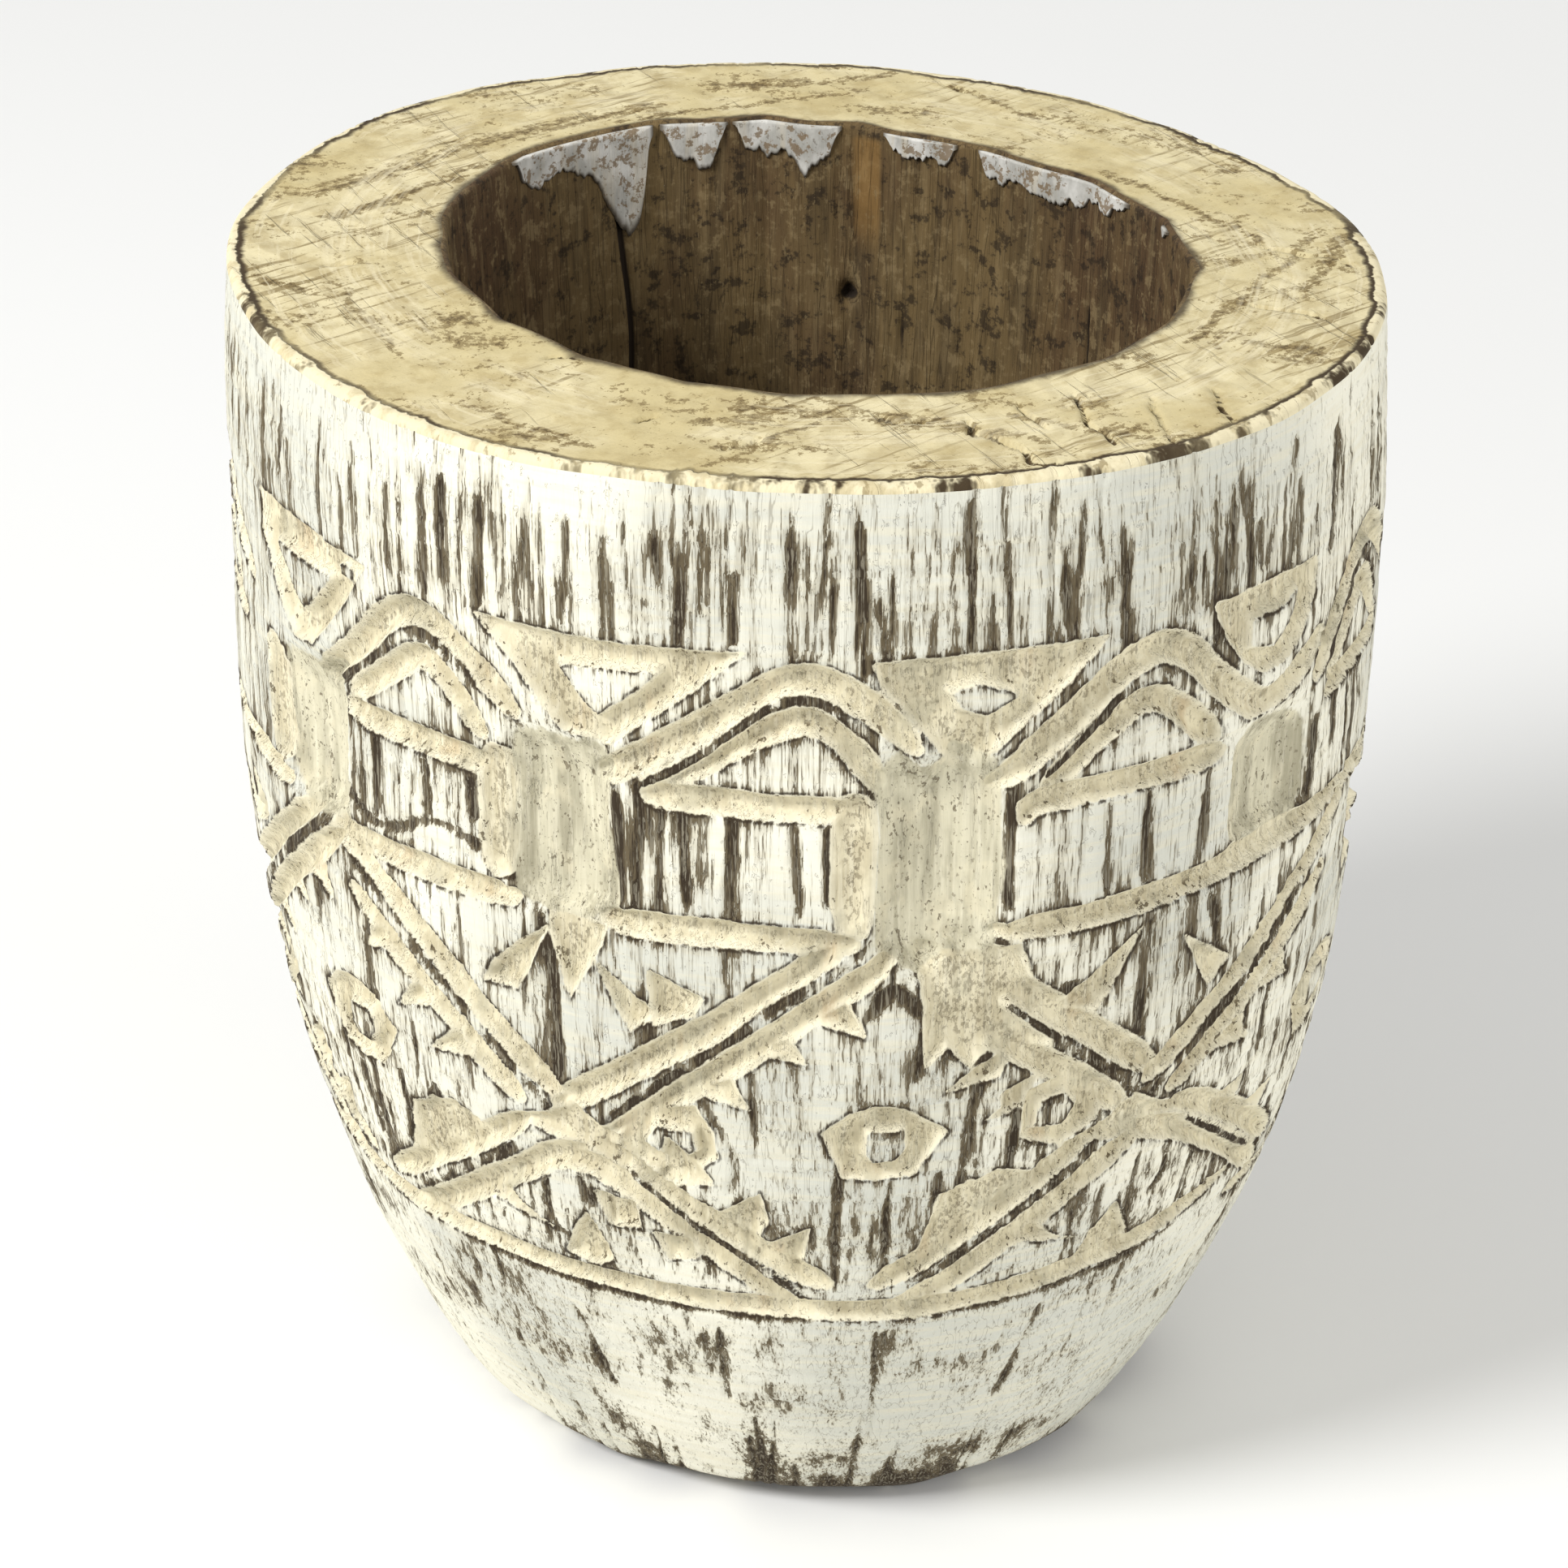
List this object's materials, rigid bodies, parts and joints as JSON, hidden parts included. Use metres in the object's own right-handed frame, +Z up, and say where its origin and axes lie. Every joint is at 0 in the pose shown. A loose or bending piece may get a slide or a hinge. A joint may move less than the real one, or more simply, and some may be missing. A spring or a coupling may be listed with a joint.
{
  "type": "carved wooden bowl",
  "caption": "Tall thick-walled bowl hollowed from one log, with a flat sawn rim, upright flutes and a band of gouged arches and diamonds, whitewashed outside.",
  "frame": {"origin": "middle of the base, on the surface that the bowl stands on", "axes": "+Z up, towards the mouth; the front faces -Y"},
  "size_m": [0.3649, 0.3377, 0.4],
  "materials": {
    "whitewashed_wood": "worn whitewash over carved wood, matte",
    "limewash": "flaked limewash crust on wood, matte"
  },
  "bodies": {
    "root": {"carved_bowl": "whitewashed_wood", "limewash_crust_left": "limewash", "limewash_crust_back_left": "limewash", "limewash_crust_back": "limewash", "limewash_crust_back_right": "limewash", "limewash_crust_right": "limewash", "limewash_chip_right": "limewash"}
  },
  "joints": []
}
